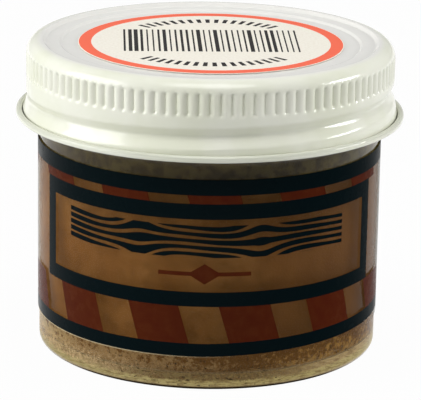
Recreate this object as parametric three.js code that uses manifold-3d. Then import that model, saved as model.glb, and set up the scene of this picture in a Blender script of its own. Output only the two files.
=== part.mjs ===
// A small glass jar of wood putty with a screw-on steel lid.
// Millimetres, +Z up. The origin is the middle of the ring that the jar stands on.
// The front of the label faces -Y.

import * as THREE from 'three';
import { mergeVertices, toCreasedNormals } from 'three/addons/utils/BufferGeometryUtils.js';
import Module from 'manifold-3d';

const wasm = await Module();
wasm.setup();

// Fineness of the round forms
const FACETS = 54;
const FILLET_STEPS_PER_TURN = 8;
const WELD_DISTANCE = 1e-4;
const CREASE_ANGLE = THREE.MathUtils.degToRad(35);
const FRONT = THREE.MathUtils.degToRad(-90);

// Glass jar
const JAR_RADIUS = 25;
const JAR_HEIGHT = 43.15;
const GLASS_WALL = 2.2;
const GLASS_FLOOR = 1.8;
const FLOOR_FILLET = 1.5;
const HEEL_FILLET = 0.8;
const FOOT_RING_WIDTH = 4.6;
const PUSH_UP_DEPTH = 0.5;
const PUSH_UP_SLOPE = 2.5;
const LIP_FILLET = 0.7;

// Bead that rings the jar between its label and its neck
const BEAD_ABOVE_LABEL = 1.95;
const BEAD_FLARE = 1.1;
const BEAD_BAND = 0.8;
const BEAD_RETURN = 0.6;
const BEAD_REACH = 0.7;
const BEAD_FILLET = 0.5;

// Neck and its screw thread
const NECK_STEP = 0.1;
const THREAD_LEAD = 4.233;
const THREAD_TURNS = 1.1;
const THREAD_HEIGHT = 1.25;
const THREAD_ROOT_HALF_WIDTH = 1.1;
const THREAD_CREST_HALF_WIDTH = 0.35;
const THREAD_TOP_DROP = 1.5;
const THREAD_RUN_OUT = 25;
const THREAD_SINK = 0.4;

// How the lid's thread fits the jar's
const THREAD_RADIAL_CLEARANCE = 0.3;
const THREAD_AXIAL_CLEARANCE = 0.35;
const THREAD_OVERLAP = 0.25;

// Putty
const FILL_CLEARANCE = 0.1;
const FILL_HEIGHT = 37.2;
const FILL_DISH = 0.5;
const FILL_DISH_SLOPE = 9;
const FILL_EDGE_FILLET = 0.8;

// Film label round the jar
const LABEL_BOTTOM = 5;
const LABEL_HEIGHT = 26.05;
const LABEL_THICKNESS = 0.12;
const LABEL_GLUE = 0.08;
const LABEL_SEAM_GAP = 5.2;

// Liner: a board with a thin facing, seated on the jar's lip
const SEAT_GAP = 0.05;
const FACING_THICKNESS = 0.2;
const BOARD_THICKNESS = 0.9;
const LINER_CLEARANCE = 0.35;

// Lid, pressed from sheet steel: a rim, a step inside it and a flat panel
const SHEET = 0.25;
const LID_HEIGHT = 11.15;
const RIM_RISE = 0.75;
const RIM_WIDTH = 2.4;
const RIM_SLOPE = 0.5;
const RIM_OUTER_FILLET = 1.5;
const RIM_INNER_FILLET = 0.5;
const STEP_RISE = 0.3;
const STEP_WIDTH = 1.9;
const STEP_SLOPE = 0.4;
const STEP_FILLET = 0.3;

// Knurl round the upper part of the skirt
const FLUTES = 108;
const FLUTE_WIDTH = 0.8;
const FLUTE_DEPTH = 0.2;
const KNURL_TOP_DROP = 1.5;
const KNURL_LENGTH = 3.6;
const KNURL_EASE = 0.5;

// Rolled thread in the skirt, a groove outside and a ridge inside
const GROOVE_FRONT_RISE = 3.73;
const GROOVE_HALF_WIDTH = 1.1;
const GROOVE_BED_HALF_WIDTH = 0.25;
const GROOVE_BEFORE_FRONT = 110;
const GROOVE_AFTER_FRONT = 150;
const GROOVE_RUN_OUT = 45;
const RIDGE_SINK = 0.15;

// Bead and outward curl at the skirt's lower edge
const SKIRT_BEAD_RISE = 1.75;
const SKIRT_BEAD_HALF_HEIGHT = 0.95;
const SKIRT_BEAD_REACH = 0.34;
const SKIRT_FOOT_REACH = 0.2;
const CURL_REACH = 1.55;
const CURL_THICKNESS = 0.95;
const CURL_LIP_WIDTH = 0.85;
const CURL_FLOOR = 0.25;
const CURL_FILLET = 0.42;

// Round paper label on the lid
const LID_LABEL_RADIUS = 19.35;
const LID_LABEL_THICKNESS = 0.12;

// Radii that follow from the jar outwards
const insideRadius = JAR_RADIUS - GLASS_WALL;
const neckRadius = JAR_RADIUS - NECK_STEP;
const threadRadius = neckRadius + THREAD_HEIGHT;
const knurlInner = threadRadius + THREAD_RADIAL_CLEARANCE;
const skirtOuter = knurlInner + SHEET + FLUTE_DEPTH;
const skirtInner = skirtOuter - SHEET;
const ridgeRadius = threadRadius - THREAD_OVERLAP;
const grooveRadius = ridgeRadius + SHEET;
const rimInner = skirtOuter - RIM_WIDTH;
const stepOuter = rimInner - RIM_SLOPE;
const stepInner = stepOuter - STEP_WIDTH;
const panelRadius = stepInner - STEP_SLOPE;
const linerRadius = knurlInner - LINER_CLEARANCE;

// Heights that follow from the jar's lip upwards
const facingBottom = JAR_HEIGHT + SEAT_GAP;
const boardBottom = facingBottom + FACING_THICKNESS + SEAT_GAP;
const lidSeat = boardBottom + BOARD_THICKNESS + SEAT_GAP;
const panelTop = lidSeat + SHEET;
const stepTop = panelTop + STEP_RISE;
const rimTop = panelTop + RIM_RISE;
const curlBottom = rimTop - LID_HEIGHT;
const knurlTop = rimTop - KNURL_TOP_DROP;
const knurlBottom = knurlTop - KNURL_LENGTH;

// The two threads share one helix and keep an axial clearance where their flanks meet
const ridgeHalfWidth = GROOVE_HALF_WIDTH + SHEET;
const ridgeCrestHalfWidth = GROOVE_BED_HALF_WIDTH + SHEET;
const ridgeFlankSpread = (ridgeHalfWidth - ridgeCrestHalfWidth) / (skirtInner - ridgeRadius);
const ridgeHalfWidthAtThread = ridgeCrestHalfWidth + THREAD_OVERLAP * ridgeFlankSpread;
const threadOffset = THREAD_CREST_HALF_WIDTH + ridgeHalfWidthAtThread + THREAD_AXIAL_CLEARANCE;
const grooveHeight = (angle) => curlBottom + GROOVE_FRONT_RISE + helixRise(angle - FRONT);
const threadHeight = (angle) => grooveHeight(angle) + threadOffset;

function helixRise(angle) {
  return (THREAD_LEAD * angle) / (2 * Math.PI);
}

// A profile of [radius, height, fillet] corners, with each fillet as an arc
function profile(corners) {
  const points = corners.map(([radius, height]) => new THREE.Vector2(radius, height));
  return corners.flatMap(([, , fillet], index) => {
    if (!fillet) return [points[index]];
    return filletArc(points[index - 1], points[index], points[index + 1], fillet);
  });
}

function filletArc(before, corner, after, radius) {
  const back = before.clone().sub(corner);
  const ahead = after.clone().sub(corner);
  const room = Math.min(back.length(), ahead.length()) / 2;
  const half = Math.acos(back.dot(ahead) / (back.length() * ahead.length())) / 2;
  const tangent = Math.min(radius / Math.tan(half), room);
  const fitted = tangent * Math.tan(half);
  const bisector = back.clone().normalize().add(ahead.clone().normalize()).normalize();
  const centre = corner.clone().addScaledVector(bisector, fitted / Math.sin(half));
  const start = corner.clone().addScaledVector(back.normalize(), tangent).sub(centre);
  const sweep = Math.PI - 2 * half;
  const side = Math.sign(back.cross(start));
  const steps = Math.max(1, Math.round((FILLET_STEPS_PER_TURN * sweep) / (2 * Math.PI)) + 1);
  return Array.from({ length: steps + 1 }, (_, step) =>
    start.clone().rotateAround(new THREE.Vector2(), (side * sweep * step) / steps).add(centre));
}

// Shared vertices welded, and the triangles that collapse on the axis left out
function weld(geometry) {
  const bare = new THREE.BufferGeometry();
  bare.setAttribute('position', geometry.getAttribute('position'));
  bare.setIndex(geometry.getIndex());
  const welded = mergeVertices(bare, WELD_DISTANCE);
  const corners = welded.getIndex().array;
  const kept = [];
  for (let i = 0; i < corners.length; i += 3) {
    const [a, b, c] = corners.slice(i, i + 3);
    if (a !== b && b !== c && c !== a) kept.push(a, b, c);
  }
  welded.setIndex(kept);
  return welded;
}

function toSolid(geometry) {
  const welded = weld(geometry);
  return new wasm.Manifold(new wasm.Mesh({
    numProp: 3,
    vertProperties: new Float32Array(welded.getAttribute('position').array),
    triVerts: new Uint32Array(welded.getIndex().array),
  }));
}

function toGeometry(solid) {
  const mesh = solid.getMesh();
  const geometry = new THREE.BufferGeometry();
  geometry.setAttribute('position', new THREE.Float32BufferAttribute(mesh.vertProperties, 3));
  geometry.setIndex(Array.from(mesh.triVerts));
  return geometry;
}

function turned(corners) {
  return weld(new THREE.LatheGeometry(profile(corners), FACETS).rotateX(Math.PI / 2));
}

function disc(radius, thickness, bottom) {
  const geometry = new THREE.CylinderGeometry(radius, radius, thickness, FACETS);
  return weld(geometry.rotateX(Math.PI / 2).translate(0, 0, bottom + thickness / 2));
}

// A bar on a helix. section(depth) gives its [radius, rise] corners, anticlockwise seen from its start,
// with depth running from 0 at each end to 1 past the run-out.
function helicalBar({ start, end, runOut, height, section }) {
  const steps = Math.round(((end - start) * FACETS) / (2 * Math.PI));
  const positions = [];
  const indices = [];
  const sides = section(1).length;
  for (let step = 0; step <= steps; step += 1) {
    const angle = start + ((end - start) * step) / steps;
    const depth = Math.min(1, (angle - start) / runOut, (end - angle) / runOut);
    for (const [radius, rise] of section(depth)) {
      positions.push(radius * Math.cos(angle), radius * Math.sin(angle), height(angle) + rise);
    }
  }
  for (let step = 0; step < steps; step += 1) {
    for (let side = 0; side < sides; side += 1) {
      const a = step * sides + side;
      const b = step * sides + ((side + 1) % sides);
      indices.push(a, b + sides, b, a, a + sides, b + sides);
    }
  }
  const last = steps * sides;
  for (let side = 1; side < sides - 1; side += 1) {
    indices.push(0, side, side + 1, last, last + side + 1, last + side);
  }
  const geometry = new THREE.BufferGeometry();
  geometry.setAttribute('position', new THREE.Float32BufferAttribute(positions, 3));
  geometry.setIndex(indices);
  return geometry;
}

// Glass jar with its thread
function jarGeometry() {
  const footInner = JAR_RADIUS - HEEL_FILLET - FOOT_RING_WIDTH;
  const bead = JAR_RADIUS + BEAD_REACH;
  const beadStart = LABEL_BOTTOM + LABEL_HEIGHT + BEAD_ABOVE_LABEL;
  const bandBottom = beadStart + BEAD_FLARE;
  const bandTop = bandBottom + BEAD_BAND;
  const body = turned([
    [0, PUSH_UP_DEPTH],
    [footInner - PUSH_UP_SLOPE, PUSH_UP_DEPTH],
    [footInner, 0],
    [JAR_RADIUS, 0, HEEL_FILLET],
    [JAR_RADIUS, beadStart, BEAD_FILLET],
    [bead, bandBottom, BEAD_FILLET],
    [bead, bandTop, BEAD_FILLET],
    [neckRadius, bandTop + BEAD_RETURN, BEAD_FILLET],
    [neckRadius, JAR_HEIGHT, LIP_FILLET],
    [insideRadius, JAR_HEIGHT, LIP_FILLET],
    [insideRadius, GLASS_FLOOR, FLOOR_FILLET],
    [0, GLASS_FLOOR],
  ]);
  const root = neckRadius - THREAD_SINK;
  const top = FRONT + ((JAR_HEIGHT - THREAD_TOP_DROP - threadHeight(FRONT)) * 2 * Math.PI) / THREAD_LEAD;
  const thread = helicalBar({
    start: top - THREAD_TURNS * 2 * Math.PI,
    end: top,
    runOut: THREE.MathUtils.degToRad(THREAD_RUN_OUT),
    height: threadHeight,
    section: (depth) => {
      const crest = neckRadius - THREAD_SINK / 2 + depth * (threadRadius - neckRadius + THREAD_SINK / 2);
      return [
        [root, -THREAD_ROOT_HALF_WIDTH],
        [neckRadius - THREAD_SINK / 2, -THREAD_ROOT_HALF_WIDTH],
        [crest, -THREAD_CREST_HALF_WIDTH],
        [crest, THREAD_CREST_HALF_WIDTH],
        [neckRadius - THREAD_SINK / 2, THREAD_ROOT_HALF_WIDTH],
        [root, THREAD_ROOT_HALF_WIDTH],
      ];
    },
  });
  return toGeometry(toSolid(body).add(toSolid(thread)));
}

// Putty, moulded by the jar's inside and slightly dished on top
function puttyGeometry() {
  const radius = insideRadius - FILL_CLEARANCE;
  const floor = GLASS_FLOOR + FILL_CLEARANCE;
  return turned([
    [0, floor],
    [radius, floor, FLOOR_FILLET - FILL_CLEARANCE],
    [radius, FILL_HEIGHT, FILL_EDGE_FILLET],
    [radius - FILL_DISH_SLOPE, FILL_HEIGHT - FILL_DISH],
    [0, FILL_HEIGHT - FILL_DISH],
  ]);
}

// Film label, open at its seam behind
function bodyLabelGeometry() {
  const inner = JAR_RADIUS + LABEL_GLUE;
  const outer = inner + LABEL_THICKNESS;
  const halfGap = LABEL_SEAM_GAP / inner / 2;
  const start = halfGap - FRONT;
  const end = 2 * Math.PI - halfGap - FRONT;
  const shape = new THREE.Shape();
  shape.absarc(0, 0, outer, start, end, false);
  shape.absarc(0, 0, inner, end, start, true);
  const geometry = new THREE.ExtrudeGeometry(shape, {
    depth: LABEL_HEIGHT,
    bevelEnabled: false,
    curveSegments: Math.ceil(FACETS / 2),
  });
  return weld(geometry.translate(0, 0, LABEL_BOTTOM));
}

// Sheet-steel lid: the turned pressing, then the rolled thread, then the knurl
function lidShellGeometry() {
  const curlOuter = skirtOuter + CURL_REACH;
  const curlTop = curlBottom + CURL_THICKNESS;
  const gapBottom = curlBottom + CURL_FLOOR;
  const lipInner = curlOuter - CURL_LIP_WIDTH;
  const skirtFoot = skirtOuter + SKIRT_FOOT_REACH;
  const beadHeight = curlBottom + SKIRT_BEAD_RISE;
  const pressing = turned([
    [0, lidSeat],
    [panelRadius, lidSeat],
    [stepInner + SHEET, stepTop - SHEET],
    [stepOuter + SHEET, stepTop - SHEET],
    [rimInner + SHEET, rimTop - SHEET],
    [knurlInner, rimTop - SHEET, RIM_OUTER_FILLET - SHEET],
    [knurlInner, knurlBottom],
    [skirtInner, knurlBottom - KNURL_EASE],
    [skirtInner, curlBottom, CURL_FILLET],
    [curlOuter, curlBottom, CURL_FILLET],
    [curlOuter, curlTop, CURL_FILLET],
    [lipInner, curlTop, CURL_FILLET],
    [lipInner, gapBottom],
    [skirtFoot, gapBottom],
    [skirtFoot, curlTop],
    [skirtOuter + SKIRT_BEAD_REACH, beadHeight, SKIRT_BEAD_HALF_HEIGHT],
    [skirtOuter, beadHeight + SKIRT_BEAD_HALF_HEIGHT],
    [skirtOuter, rimTop, RIM_OUTER_FILLET],
    [rimInner, rimTop, RIM_INNER_FILLET],
    [stepOuter, stepTop, STEP_FILLET],
    [stepInner, stepTop, STEP_FILLET],
    [panelRadius, panelTop, STEP_FILLET],
    [0, panelTop],
  ]);
  let lid = toSolid(pressing).add(toSolid(rolledRidge())).subtract(toSolid(rolledGroove()));
  for (let flute = 0; flute < FLUTES; flute += 1) {
    lid = lid.subtract(toSolid(fluteCutter((flute * 2 * Math.PI) / FLUTES)));
  }
  return toGeometry(lid);
}

// How deep the sheet is rolled in at a share of the thread's full depth
function rolledIn(depth) {
  return grooveRadius + (1 - depth) * (skirtOuter + SHEET / 2 - grooveRadius);
}

function rolledBar(section) {
  return helicalBar({
    start: FRONT - THREE.MathUtils.degToRad(GROOVE_BEFORE_FRONT),
    end: FRONT + THREE.MathUtils.degToRad(GROOVE_AFTER_FRONT),
    runOut: THREE.MathUtils.degToRad(GROOVE_RUN_OUT),
    height: grooveHeight,
    section,
  });
}

function rolledRidge() {
  const root = skirtInner + RIDGE_SINK;
  return rolledBar((depth) => [
    [rolledIn(depth) - SHEET, ridgeCrestHalfWidth],
    [rolledIn(depth) - SHEET, -ridgeCrestHalfWidth],
    [root, -ridgeHalfWidth],
    [root, ridgeHalfWidth],
  ]);
}

function rolledGroove() {
  const outside = skirtOuter + SKIRT_BEAD_REACH + SHEET;
  const spread = (GROOVE_HALF_WIDTH - GROOVE_BED_HALF_WIDTH) / (skirtOuter - grooveRadius);
  return rolledBar((depth) => {
    const bed = rolledIn(depth);
    const mouth = GROOVE_BED_HALF_WIDTH + (outside - bed) * spread;
    return [
      [bed, GROOVE_BED_HALF_WIDTH],
      [bed, -GROOVE_BED_HALF_WIDTH],
      [outside, -mouth],
      [outside, mouth],
    ];
  });
}

function fluteCutter(angle) {
  const shape = new THREE.Shape();
  shape.moveTo(skirtOuter - FLUTE_DEPTH, 0);
  shape.lineTo(skirtOuter + FLUTE_DEPTH, -FLUTE_WIDTH);
  shape.lineTo(skirtOuter + FLUTE_DEPTH, FLUTE_WIDTH);
  const geometry = new THREE.ExtrudeGeometry(shape, { depth: KNURL_LENGTH, bevelEnabled: false });
  return geometry.translate(0, 0, knurlBottom).rotateZ(angle);
}

function piece(name, geometry, material) {
  const shaded = toCreasedNormals(geometry, CREASE_ANGLE);
  const mesh = new THREE.Mesh(shaded, new THREE.MeshStandardMaterial(material));
  mesh.name = name;
  return mesh;
}

const CLEAR_GLASS = { color: 0xdde6df, roughness: 0.05, metalness: 0, transparent: true, opacity: 0.35 };
const PUTTY = { color: 0x8a5f38, roughness: 0.6, metalness: 0 };
const PRINTED_FILM = { color: 0x10262f, roughness: 0.25, metalness: 0 };
const WHITE_ENAMEL = { color: 0xf3f4e8, roughness: 0.2, metalness: 0 };
const PULPBOARD = { color: 0xb9a588, roughness: 0.9, metalness: 0 };
const COATED_FACING = { color: 0xe9e6dc, roughness: 0.4, metalness: 0 };
const LABEL_PAPER = { color: 0xe9dccb, roughness: 0.7, metalness: 0 };

const jar = new THREE.Group();
jar.add(
  piece('jar', jarGeometry(), CLEAR_GLASS),
  piece('putty', puttyGeometry(), PUTTY),
  piece('body_label', bodyLabelGeometry(), PRINTED_FILM),
);

const liner = new THREE.Group();
liner.add(
  piece('liner_facing', disc(linerRadius, FACING_THICKNESS, facingBottom), COATED_FACING),
  piece('liner_board', disc(linerRadius, BOARD_THICKNESS, boardBottom), PULPBOARD),
);

const lid = new THREE.Group();
lid.add(
  piece('lid_shell', lidShellGeometry(), WHITE_ENAMEL),
  piece('lid_label', disc(LID_LABEL_RADIUS, LID_LABEL_THICKNESS, panelTop + SEAT_GAP), LABEL_PAPER),
);

const puttyJar = new THREE.Group();
puttyJar.add(jar, liner, lid);

export default puttyJar;
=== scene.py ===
"""A small glass jar of wood putty with a printed film label and a knurled white screw lid."""

import math
from functools import reduce

import bmesh
import bpy
import numpy as np
from mathutils import Matrix, Vector


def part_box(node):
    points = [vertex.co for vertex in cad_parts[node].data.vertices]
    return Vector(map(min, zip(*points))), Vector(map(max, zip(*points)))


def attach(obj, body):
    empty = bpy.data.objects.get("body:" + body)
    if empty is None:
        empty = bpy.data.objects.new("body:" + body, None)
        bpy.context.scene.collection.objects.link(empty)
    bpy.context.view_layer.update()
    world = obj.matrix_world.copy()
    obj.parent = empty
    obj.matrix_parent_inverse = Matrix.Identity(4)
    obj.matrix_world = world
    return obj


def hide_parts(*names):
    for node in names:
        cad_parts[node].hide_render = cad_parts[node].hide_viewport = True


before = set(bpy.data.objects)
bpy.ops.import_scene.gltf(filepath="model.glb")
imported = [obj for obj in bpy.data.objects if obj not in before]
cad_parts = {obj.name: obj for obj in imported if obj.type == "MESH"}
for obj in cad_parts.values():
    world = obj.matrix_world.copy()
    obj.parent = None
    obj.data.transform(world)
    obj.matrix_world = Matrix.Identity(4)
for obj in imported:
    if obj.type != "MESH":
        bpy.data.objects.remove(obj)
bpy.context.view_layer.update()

# Sizes are in millimetres and angles in degrees, and Blender's units are metres
MM = 0.001


def node_box(node):
    """A CAD node's lowest and highest corners in millimetres."""
    return [np.array(corner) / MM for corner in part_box(node)]


jar_high = node_box("jar")[1]
putty_high = node_box("putty")[1]
label_low, label_high = node_box("body_label")
lid_low, lid_high = node_box("lid_shell")
sticker_low, sticker_high = node_box("lid_label")
board_low, board_high = node_box("liner_board")
facing_low, facing_high = node_box("liner_facing")

# Fineness of the meshes
LATHE_STEPS = 256
ARC_STEP = 12
CREASE = 42
FILLET_SHARE = 0.85
WELD = 0.0001

# Film label
FILM = 0.12
GLUE = 0.08
LABEL_RADIUS = -label_low[1]
SEAM_GAP = 5.2
FILM_STEPS = 240

# Glass jar
JAR_RADIUS = LABEL_RADIUS - FILM - GLUE
JAR_HEIGHT = jar_high[2]
WALL = 2.2
FLOOR = 1.8
FLOOR_FILLET = 1.5
HEEL = 0.8
FOOT_RING = 4.6
FOOT_INSIDE = JAR_RADIUS - HEEL - FOOT_RING
FOOT_FILLET = 0.8
PUSH_UP = 0.5
PUSH_UP_SLOPE = 2.5
PUSH_UP_FILLET = 1.5
NECK_STEP = 0.1
LIP = 0.7
BEAD_CLEARANCE = 1.95
BEAD_START = label_high[2] + BEAD_CLEARANCE
BEAD_FLARE = 1.1
BEAD_BAND = 0.8
BEAD_RETURN = 0.6
BEAD_REACH = 0.7
BEAD_FILLET = 0.45

# Screw thread, one helix for the jar and the lid
LEAD = 4.233
FRONT = -90.0
THREAD_TURNS = 1.1
THREAD_HEIGHT = 1.25
THREAD_ROOT = 1.1
THREAD_CREST = 0.35
THREAD_OFFSET = 1.48
THREAD_TOP_DROP = 1.5
THREAD_RUN_OUT = 25.0
THREAD_ROW = 0.16

# Putty, which wets the inside of the glass
WETTING = 0.02
FILL_TOP = putty_high[2]
FILL_DISH = 0.5
FILL_EDGE = 0.8
SWIRL_DEPTH = 0.22
SWIRL_PITCH = 4.5
SWIRL_ARMS = 2
SWIRL_ROW = 0.4

# Lid
LID_TOP = lid_high[2]
CURL_BOTTOM = lid_low[2]
CURL_RADIUS = lid_high[0]
CURL_REACH = 1.5
SHEET = 0.25
SHEET_TOLERANCE = SHEET / 100
SKIRT_RADIUS = CURL_RADIUS - CURL_REACH
PANEL_DROP = 0.75
STEP_DROP = 0.45
RIM_WIDTH = 2.4
RIM_FILLET = 2.04
STEP_FILLET = 0.35
STEP_OUTER = 24.0
STEP_INNER = 22.1
PANEL_RADIUS = 21.7
FLUTES = 108
FLUTE_STEPS = 6
FLUTE_DEPTH = 0.4
KNURL_TOP_DROP = 1.5
KNURL_LENGTH = 3.6
KNURL_RAMP = 0.5
GROOVE_RISE = 3.73
GROOVE_MIDDLE = CURL_BOTTOM + GROOVE_RISE
GROOVE_DEPTH = 0.68
GROOVE_LIFT = -0.4
GROOVE_ABOVE = 1.2
GROOVE_BELOW = 1.65
GROOVE_BED = 0.08
GROOVE_BEFORE = 110.0
GROOVE_AFTER = 150.0
GROOVE_RUN_OUT = 45.0
SKIRT_BEAD_RISE = 1.7
SKIRT_BEAD_ROUND = 0.95
SKIRT_BEAD_SLOPE = 1.6
SKIRT_BEAD_REACH = 0.34
SKIRT_FOOT_REACH = 0.45
CURL_THICKNESS = 0.95
CURL_WIDTH = 0.92
CURL_FILLET = 0.42
CURL_GAP_BOTTOM = 0.5
SKIRT_ROW = 0.24
INSIDE_ROW = 0.5

# Liner and lid label
BOARD_EDGE = 0.15
FACING_EDGE = 0.05
STICKER_EDGE = 0.03
LIP_PRINT = 0.06
LIP_PRINT_HALF = 0.9
LIP_PRINT_ROW = 0.3


def fillet(before, corner, after, radius):
    """The points of the arc that rounds a profile's corner."""
    back = (before - corner).normalized()
    ahead = (after - corner).normalized()
    half = back.angle(ahead) / 2
    room = min((before - corner).length, (after - corner).length) * FILLET_SHARE
    reach = min(radius / math.tan(half), room)
    centre = corner + (back + ahead).normalized() * reach / math.cos(half)
    spoke = corner + back * reach - centre
    sweep = math.copysign(math.pi - 2 * half, back.cross(spoke))
    steps = max(2, round(abs(math.degrees(sweep)) / ARC_STEP))
    return [centre + Matrix.Rotation(sweep * step / steps, 2) @ spoke for step in range(steps + 1)]


def rounded(corners):
    """A profile of (radius, height) points from corners that may have a fillet as a third value."""
    points = [Vector(corner[:2]) for corner in corners]
    profile = []
    for index, corner in enumerate(corners):
        if len(corner) == 2:
            profile.append(points[index])
        else:
            profile += fillet(points[index - 1], points[index], points[index + 1], corner[2])
    return profile


def refine(profile, step, chosen):
    """The same profile with points every step or less along the stretches that are chosen."""
    finer = [profile[0]]
    for start, end in zip(profile, profile[1:]):
        parts = math.ceil((end - start).length / step) if chosen(start, end) else 1
        finer += [start.lerp(end, part / parts) for part in range(1, parts + 1)]
    return finer


def above(height):
    """A choice of the stretches that lie above a height."""
    return lambda start, end: min(start.y, end.y) > height


def make_piece(name, corners, faces, material):
    """A smooth mesh object of corners in millimetres, creased at its sharp edges."""
    mesh = bpy.data.meshes.new(name)
    mesh.from_pydata((corners * MM).tolist(), [], faces)
    builder = bmesh.new()
    builder.from_mesh(mesh)
    bmesh.ops.remove_doubles(builder, verts=builder.verts, dist=WELD * MM)
    builder.to_mesh(mesh)
    builder.free()
    mesh.shade_smooth()
    mesh.set_sharp_from_angle(angle=math.radians(CREASE))
    mesh.materials.append(material)
    piece = bpy.data.objects.new(name, mesh)
    bpy.context.scene.collection.objects.link(piece)
    return piece


def spin_grid(profile, angles, shape):
    """Corners of a profile set at each angle, after shape has moved their radii and heights."""
    radius, height = (np.tile(column, (len(angles), 1)) for column in np.array(profile).T)
    angle = np.repeat(angles[:, None], len(profile), axis=1)
    if shape:
        radius, height = shape(angle, radius, height)
    return np.stack([radius * np.cos(angle), radius * np.sin(angle), height], axis=2).reshape(-1, 3)


def grid_faces(turns, points, closed, looped):
    """Outward quads between neighbouring angles and neighbouring profile points."""
    faces = []
    for turn in range(turns if closed else turns - 1):
        here, ahead = turn * points, (turn + 1) % turns * points
        for point in range(points if looped else points - 1):
            beside = (point + 1) % points
            faces.append((here + point, ahead + point, ahead + beside, here + beside))
    return faces


def lathe(name, profile, material, steps=LATHE_STEPS, shape=None):
    """A solid of revolution whose profile starts and ends on the axis."""
    angles = np.linspace(0, 2 * np.pi, steps, endpoint=False)
    corners = spin_grid(profile, angles, shape)
    return make_piece(name, corners, grid_faces(steps, len(profile), True, False), material)


def straight(value):
    """A straight line from 0 at 0 to 1 at 1."""
    return np.clip(value, 0, 1)


def smooth(value):
    """An S-curve from 0 at 0 to 1 at 1."""
    clipped = straight(value)
    return clipped * clipped * (3 - 2 * clipped)


def unwound(angle, last):
    """Angles in degrees on the turn that ends at last, as the threads count them."""
    degrees = np.degrees(angle) % 360
    return degrees - 360 * np.ceil((degrees - last) / 360)


def helix_form(angle, height, start, end, run_out, middle, upper, lower, flat, flank):
    """How far a thread's form stands at an angle and height, from 0 outside it to 1 on its flat."""
    degrees = unwound(angle, end)
    turns_back = int(np.ceil((end - start) / 360))
    form = np.zeros_like(height)
    for turn in range(turns_back):
        along = degrees - 360 * turn
        taper = smooth(np.minimum(along - start, end - along) / run_out)
        offset = height - middle - LEAD * (along - FRONT) / 360
        half = np.where(offset > 0, upper, lower)
        form = np.maximum(form, taper * flank((half - np.abs(offset)) / (half - flat)))
    return form


def glass_jar(material):
    """The moulded jar: heel, pushed-up base, bead, threaded neck and rounded lip."""
    inside = JAR_RADIUS - WALL
    neck = JAR_RADIUS - NECK_STEP
    bead = JAR_RADIUS + BEAD_REACH
    band = BEAD_START + BEAD_FLARE
    neck_bottom = band + BEAD_BAND + BEAD_RETURN
    profile = rounded([
        (0, PUSH_UP),
        (FOOT_INSIDE - PUSH_UP_SLOPE, PUSH_UP, PUSH_UP_FILLET),
        (FOOT_INSIDE, 0, FOOT_FILLET),
        (JAR_RADIUS, 0, HEEL),
        (JAR_RADIUS, BEAD_START, BEAD_FILLET),
        (bead, band, BEAD_FILLET),
        (bead, band + BEAD_BAND, BEAD_FILLET),
        (neck, neck_bottom, BEAD_FILLET),
        (neck, JAR_HEIGHT, LIP),
        (inside, JAR_HEIGHT, LIP),
        (inside, FLOOR, FLOOR_FILLET),
        (0, FLOOR),
    ])
    thread_middle = GROOVE_MIDDLE + THREAD_OFFSET
    end = FRONT + 360 * (JAR_HEIGHT - THREAD_TOP_DROP - thread_middle) / LEAD

    def threaded(angle, radius, height):
        form = helix_form(angle, height, end - 360 * THREAD_TURNS, end, THREAD_RUN_OUT,
                          thread_middle, THREAD_ROOT, THREAD_ROOT, THREAD_CREST, smooth)
        outside = (radius > neck - LIP) & (height > BEAD_START)
        crest = neck + THREAD_HEIGHT
        return np.where(outside, radius + form * np.maximum(crest - radius, 0), radius), height

    profile = refine(profile, THREAD_ROW, above(band + BEAD_BAND / 2))
    return lathe("glass_jar", profile, material, shape=threaded)


def putty_fill(material):
    """The putty, moulded by the glass, with a knife's swirl on top."""
    radius = JAR_RADIUS - WALL + WETTING
    calm_edge = radius / 3
    dish = FILL_TOP - FILL_DISH
    profile = rounded([
        (0, FLOOR - WETTING),
        (radius, FLOOR - WETTING, FLOOR_FILLET),
        (radius, FILL_TOP, FILL_EDGE),
        (radius / 2, dish),
        (0, dish),
    ])

    def swirled(angle, radii, height):
        phase = 2 * np.pi * radii / SWIRL_PITCH - SWIRL_ARMS * angle
        calm = smooth((radius - radii) / calm_edge) * smooth(radii / SWIRL_PITCH)
        top = smooth((height - dish + 2 * FILL_DISH) / FILL_DISH)
        return radii, height + top * calm * SWIRL_DEPTH * np.sin(phase)

    profile = refine(profile, SWIRL_ROW, above(dish - FILL_DISH))
    return lathe("putty_fill", profile, material, shape=swirled)


def film_label(material):
    """The clear film round the jar, open at its seam behind."""
    inner = JAR_RADIUS + GLUE
    low, high = label_low[2], label_high[2]
    half_gap = SEAM_GAP / inner / 2
    angles = np.linspace(half_gap, 2 * np.pi - half_gap, FILM_STEPS) - math.radians(FRONT)
    profile = [(inner, low), (LABEL_RADIUS, low), (LABEL_RADIUS, high), (inner, high)]
    corners = spin_grid(profile, angles, None)
    faces = grid_faces(FILM_STEPS, len(profile), False, True)
    last = (FILM_STEPS - 1) * len(profile)
    faces.append(tuple(range(len(profile))))
    faces.append(tuple(last + point for point in reversed(range(len(profile)))))
    return make_piece("film_label", corners, faces, material)


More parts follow.
